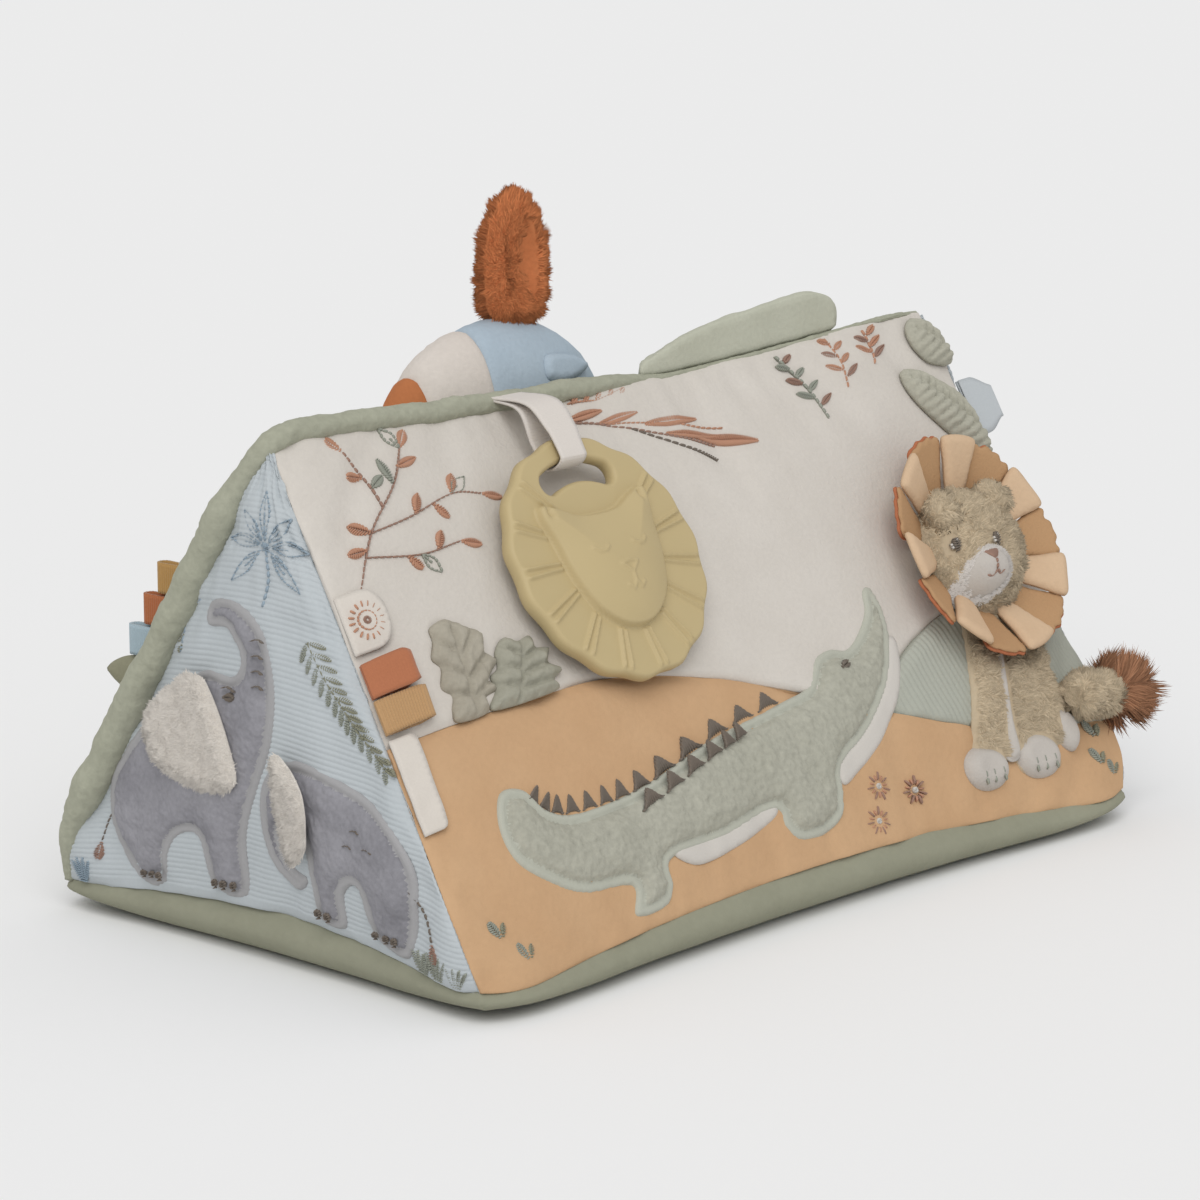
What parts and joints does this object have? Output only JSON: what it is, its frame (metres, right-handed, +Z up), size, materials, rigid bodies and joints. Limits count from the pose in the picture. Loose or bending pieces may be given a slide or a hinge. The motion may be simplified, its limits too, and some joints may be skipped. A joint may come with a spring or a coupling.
{
  "type": "soft activity triangle",
  "caption": "Soft triangular baby toy: plush-covered foam wedge with padded animals, leaf flaps, ribbon tags, a hanging silicone teether and a stuffed lion and bird.",
  "frame": {"origin": "middle of the flat foot the wedge stands on, on the floor", "axes": "+X along the wedge from the elephants' end, the pictured front faces -Y, +Z up"},
  "size_m": [0.4808, 0.2646, 0.3223],
  "materials": {
    "cream_plush": "short cream pile",
    "peach_velour": "short peach pile",
    "sage_plush": "short sage pile",
    "sage_rib": "ribbed sage knit",
    "blue_rib": "ribbed pale blue knit",
    "grey_plush": "grey pile",
    "white_plush": "white pile",
    "croc_plush": "sage pile",
    "leaf_cloth": "sage double cloth",
    "lion_plush": "fawn pile",
    "mane_rust": "tan felt with a rust edge",
    "mane_cream": "cream pile",
    "tuft_hair": "long brown pile",
    "mustard_ribbon": "woven mustard ribbon",
    "rust_ribbon": "woven rust ribbon",
    "cream_ribbon": "woven cream ribbon",
    "blue_ribbon": "pale blue satin ribbon",
    "label_cloth": "smooth pale label cloth",
    "bird_blue": "blue pile",
    "crest_plush": "long rust pile",
    "foam": "open-cell foam",
    "silicone": "matt moulded silicone",
    "clear_plastic": "moulded"
  },
  "bodies": {
    "wedge": {"foam_core": "foam", "squeaker": "clear_plastic", "rattle_capsule": "clear_plastic", "base_panel": "sage_plush", "back_panel": "sage_plush", "near_end_panel": "blue_rib", "far_end_panel": "blue_rib", "front_sky_panel": "cream_plush", "front_ground_panel": "peach_velour", "front_hill_panel": "sage_rib", "elephant_large": "grey_plush", "elephant_small": "grey_plush", "crocodile": "croc_plush", "crocodile_belly": "white_plush", "lion_body": "lion_plush", "lion_head": "lion_plush", "lion_muzzle": "white_plush", "lion_ear_left": "lion_plush", "lion_ear_right": "lion_plush", "bird_beak": "crest_plush", "bird_face": "cream_plush", "bird_body": "bird_blue"},
    "elephant_large_ear": {"elephant_large_ear": "white_plush"},
    "elephant_small_ear": {"elephant_small_ear": "white_plush"},
    "bush_leaf_left": {"bush_leaf_left": "leaf_cloth"},
    "bush_leaf_right": {"bush_leaf_right": "leaf_cloth"},
    "teether_ribbon": {"teether_ribbon": "cream_ribbon"},
    "teether": {"teether": "silicone"},
    "lion_tail": {"lion_tail": "lion_plush", "lion_tail_tuft": "tuft_hair"},
    "sun_label": {"sun_label": "label_cloth"},
    "rust_loop": {"rust_loop": "rust_ribbon"},
    "mustard_loop": {"mustard_loop": "mustard_ribbon"},
    "blank_label": {"blank_label": "label_cloth"},
    "far_leaf_upper": {"far_leaf_upper": "leaf_cloth"},
    "far_leaf_lower": {"far_leaf_lower": "leaf_cloth"},
    "far_blue_loop": {"far_blue_loop": "blue_ribbon"},
    "ridge_leaf": {"ridge_leaf": "leaf_cloth"},
    "bird_crest": {"bird_crest": "crest_plush"},
    "back_mustard_loop": {"back_mustard_loop": "mustard_ribbon"},
    "back_rust_loop": {"back_rust_loop": "rust_ribbon"},
    "back_blue_loop": {"back_blue_loop": "blue_ribbon"},
    "back_sage_leaf": {"back_sage_leaf": "leaf_cloth"},
    "mane_petal_01": {"mane_petal_01": "mane_rust"},
    "mane_petal_02": {"mane_petal_02": "mane_cream"},
    "mane_petal_03": {"mane_petal_03": "mane_rust"},
    "mane_petal_04": {"mane_petal_04": "mane_cream"},
    "mane_petal_05": {"mane_petal_05": "mane_rust"},
    "mane_petal_06": {"mane_petal_06": "mane_cream"},
    "mane_petal_07": {"mane_petal_07": "mane_rust"},
    "mane_petal_08": {"mane_petal_08": "mane_cream"},
    "mane_petal_09": {"mane_petal_09": "mane_rust"},
    "mane_petal_10": {"mane_petal_10": "mane_cream"},
    "mane_petal_11": {"mane_petal_11": "mane_rust"},
    "mane_petal_12": {"mane_petal_12": "mane_cream"},
    "mane_petal_13": {"mane_petal_13": "mane_rust"},
    "mane_petal_14": {"mane_petal_14": "mane_cream"}
  },
  "joints": [
    {"name": "large_ear_flap", "type": "hinge", "parent": "wedge", "child": "elephant_large_ear", "pos_m": [-0.23488, 0.00588, 0.08514], "axis": [-0.0068, 0.3959, 0.9183], "range_deg": [0, 120], "stiffness_Nm_per_rad": 0.0005},
    {"name": "small_ear_flap", "type": "hinge", "parent": "wedge", "child": "elephant_small_ear", "pos_m": [-0.23508, -0.01658, 0.09585], "axis": [0.0351, -0.1677, -0.9852], "range_deg": [0, 110], "stiffness_Nm_per_rad": 0.0005},
    {"name": "left_leaf_flap", "type": "hinge", "parent": "wedge", "child": "bush_leaf_left", "pos_m": [-0.18346, -0.07623, 0.11844], "axis": [0.9975, -0.0597, 0.0389], "range_deg": [0, 110], "stiffness_Nm_per_rad": 0.0005},
    {"name": "right_leaf_flap", "type": "hinge", "parent": "wedge", "child": "bush_leaf_right", "pos_m": [-0.16275, -0.07744, 0.11922], "axis": [0.999, -0.0379, 0.0256], "range_deg": [0, 110], "stiffness_Nm_per_rad": 0.0005},
    {"name": "ribbon_lift", "type": "hinge", "parent": "wedge", "child": "teether_ribbon", "pos_m": [-0.07596, -0.00335, 0.23316], "axis": [-1, 0, 0], "range_deg": [0, 85]},
    {"name": "teether_swing", "type": "hinge", "parent": "teether_ribbon", "child": "teether", "pos_m": [-0.076, -0.03361, 0.21381], "axis": [-1, 0, 0], "range_deg": [0, 55]},
    {"name": "tail_lift", "type": "hinge", "parent": "wedge", "child": "lion_tail", "pos_m": [0.19013, -0.11575, 0.06734], "axis": [-0.0151, -0.5073, -0.8616], "range_deg": [0, 65], "stiffness_Nm_per_rad": 0.005},
    {"name": "sun_label_flap", "type": "hinge", "parent": "wedge", "child": "sun_label", "pos_m": [-0.22006, -0.03835, 0.17326], "axis": [0.0177, -0.5008, -0.8654], "range_deg": [0, 90], "stiffness_Nm_per_rad": 0.0002},
    {"name": "rust_loop_flap", "type": "hinge", "parent": "wedge", "child": "rust_loop", "pos_m": [-0.21779, -0.05819, 0.14095], "axis": [0, -0.5125, -0.8587], "range_deg": [0, 90], "stiffness_Nm_per_rad": 0.0002},
    {"name": "mustard_loop_flap", "type": "hinge", "parent": "wedge", "child": "mustard_loop", "pos_m": [-0.21773, -0.06634, 0.1272], "axis": [0, -0.5125, -0.8587], "range_deg": [0, 90], "stiffness_Nm_per_rad": 0.0002},
    {"name": "blank_label_flap", "type": "hinge", "parent": "wedge", "child": "blank_label", "pos_m": [-0.21945, -0.07069, 0.11815], "axis": [-0.0137, -0.5215, -0.8531], "range_deg": [0, 90], "stiffness_Nm_per_rad": 0.0002},
    {"name": "upper_far_leaf_flap", "type": "hinge", "parent": "wedge", "child": "far_leaf_upper", "pos_m": [0.2207, -0.0199, 0.20808], "axis": [0.0351, 0.4924, 0.8696], "range_deg": [0, 70], "stiffness_Nm_per_rad": 0.0005},
    {"name": "lower_far_leaf_flap", "type": "hinge", "parent": "wedge", "child": "far_leaf_lower", "pos_m": [0.21938, -0.0436, 0.16655], "axis": [0.0229, 0.4978, 0.867], "range_deg": [0, 70], "stiffness_Nm_per_rad": 0.0005},
    {"name": "far_loop_bend", "type": "hinge", "parent": "wedge", "child": "far_blue_loop", "pos_m": [0.22518, -0.02924, 0.1882], "axis": [0, 0.5125, 0.8587], "range_deg": [-10, 40], "stiffness_Nm_per_rad": 0.0002},
    {"name": "ridge_leaf_flap", "type": "hinge", "parent": "wedge", "child": "ridge_leaf", "pos_m": [0.12928, 0.02578, 0.21217], "axis": [-0.9999, 0.0096, -0.0059], "range_deg": [0, 80], "stiffness_Nm_per_rad": 0.002},
    {"name": "crest_bend", "type": "hinge", "parent": "wedge", "child": "bird_crest", "pos_m": [-0.029, 0.038, 0.2693], "axis": [1, 0, 0], "range_deg": [-30, 30], "stiffness_Nm_per_rad": 0.01},
    {"name": "back_mustard_loop_bend", "type": "hinge", "parent": "wedge", "child": "back_mustard_loop", "pos_m": [-0.20745, 0.04687, 0.16216], "axis": [0, -0.5125, 0.8587], "range_deg": [-40, 40], "stiffness_Nm_per_rad": 0.0002},
    {"name": "back_rust_loop_bend", "type": "hinge", "parent": "wedge", "child": "back_rust_loop", "pos_m": [-0.20721, 0.05565, 0.14715], "axis": [0, -0.5125, 0.8587], "range_deg": [-40, 40], "stiffness_Nm_per_rad": 0.0002},
    {"name": "back_blue_loop_bend", "type": "hinge", "parent": "wedge", "child": "back_blue_loop", "pos_m": [-0.2071, 0.0645, 0.13217], "axis": [0, -0.5125, 0.8587], "range_deg": [-40, 40], "stiffness_Nm_per_rad": 0.0002},
    {"name": "back_leaf_bend", "type": "hinge", "parent": "wedge", "child": "back_sage_leaf", "pos_m": [-0.20714, 0.07471, 0.11538], "axis": [0, -0.5125, 0.8587], "range_deg": [-35, 35], "stiffness_Nm_per_rad": 0.0002},
    {"name": "petal_01_lift", "type": "hinge", "parent": "wedge", "child": "mane_petal_01", "pos_m": [0.19218, -0.07316, 0.1336], "axis": [-0.0001, -0.5125, -0.8587], "range_deg": [0, 30], "stiffness_Nm_per_rad": 0.0002},
    {"name": "petal_02_lift", "type": "hinge", "parent": "wedge", "child": "mane_petal_02", "pos_m": [0.18912, -0.06642, 0.14525], "axis": [0.433, -0.4399, -0.7868], "range_deg": [0, 30], "stiffness_Nm_per_rad": 0.0002},
    {"name": "petal_03_lift", "type": "hinge", "parent": "wedge", "child": "mane_petal_03", "pos_m": [0.18053, -0.06133, 0.15477], "axis": [0.7804, -0.2801, -0.559], "range_deg": [0, 30], "stiffness_Nm_per_rad": 0.0002},
    {"name": "petal_04_lift", "type": "hinge", "parent": "wedge", "child": "mane_petal_04", "pos_m": [0.16812, -0.05889, 0.16029], "axis": [0.9732, -0.0648, -0.2206], "range_deg": [0, 30], "stiffness_Nm_per_rad": 0.0002},
    {"name": "petal_05_lift", "type": "hinge", "parent": "wedge", "child": "mane_petal_05", "pos_m": [0.15435, -0.05959, 0.1607], "axis": [0.9733, 0.1633, 0.1615], "range_deg": [0, 30], "stiffness_Nm_per_rad": 0.0002},
    {"name": "petal_06_lift", "type": "hinge", "parent": "wedge", "child": "mane_petal_06", "pos_m": [0.14194, -0.06328, 0.15594], "axis": [0.7806, 0.359, 0.5117], "range_deg": [0, 30], "stiffness_Nm_per_rad": 0.0002},
    {"name": "petal_07_lift", "type": "hinge", "parent": "wedge", "child": "mane_petal_07", "pos_m": [0.13335, -0.06924, 0.14694], "axis": [0.4333, 0.4837, 0.7605], "range_deg": [0, 30], "stiffness_Nm_per_rad": 0.0002},
    {"name": "petal_08_lift", "type": "hinge", "parent": "wedge", "child": "mane_petal_08", "pos_m": [0.13029, -0.07629, 0.13548], "axis": [0.0001, 0.5125, 0.8587], "range_deg": [0, 30], "stiffness_Nm_per_rad": 0.0002},
    {"name": "petal_09_lift", "type": "hinge", "parent": "wedge", "child": "mane_petal_09", "pos_m": [0.13335, -0.08303, 0.12384], "axis": [-0.433, 0.4399, 0.7868], "range_deg": [0, 30], "stiffness_Nm_per_rad": 0.0002},
    {"name": "petal_10_lift", "type": "hinge", "parent": "wedge", "child": "mane_petal_10", "pos_m": [0.14193, -0.08813, 0.11432], "axis": [-0.7804, 0.2801, 0.559], "range_deg": [0, 30], "stiffness_Nm_per_rad": 0.0002},
    {"name": "petal_11_lift", "type": "hinge", "parent": "wedge", "child": "mane_petal_11", "pos_m": [0.15434, -0.09057, 0.1088], "axis": [-0.9732, 0.0648, 0.2206], "range_deg": [0, 30], "stiffness_Nm_per_rad": 0.0002},
    {"name": "petal_12_lift", "type": "hinge", "parent": "wedge", "child": "mane_petal_12", "pos_m": [0.16811, -0.08987, 0.10838], "axis": [-0.9733, -0.1633, -0.1615], "range_deg": [0, 30], "stiffness_Nm_per_rad": 0.0002},
    {"name": "petal_13_lift", "type": "hinge", "parent": "wedge", "child": "mane_petal_13", "pos_m": [0.18052, -0.08618, 0.11315], "axis": [-0.7806, -0.359, -0.5117], "range_deg": [0, 30], "stiffness_Nm_per_rad": 0.0002},
    {"name": "petal_14_lift", "type": "hinge", "parent": "wedge", "child": "mane_petal_14", "pos_m": [0.18911, -0.08021, 0.12215], "axis": [-0.4333, -0.4837, -0.7605], "range_deg": [0, 30], "stiffness_Nm_per_rad": 0.0002}
  ]
}
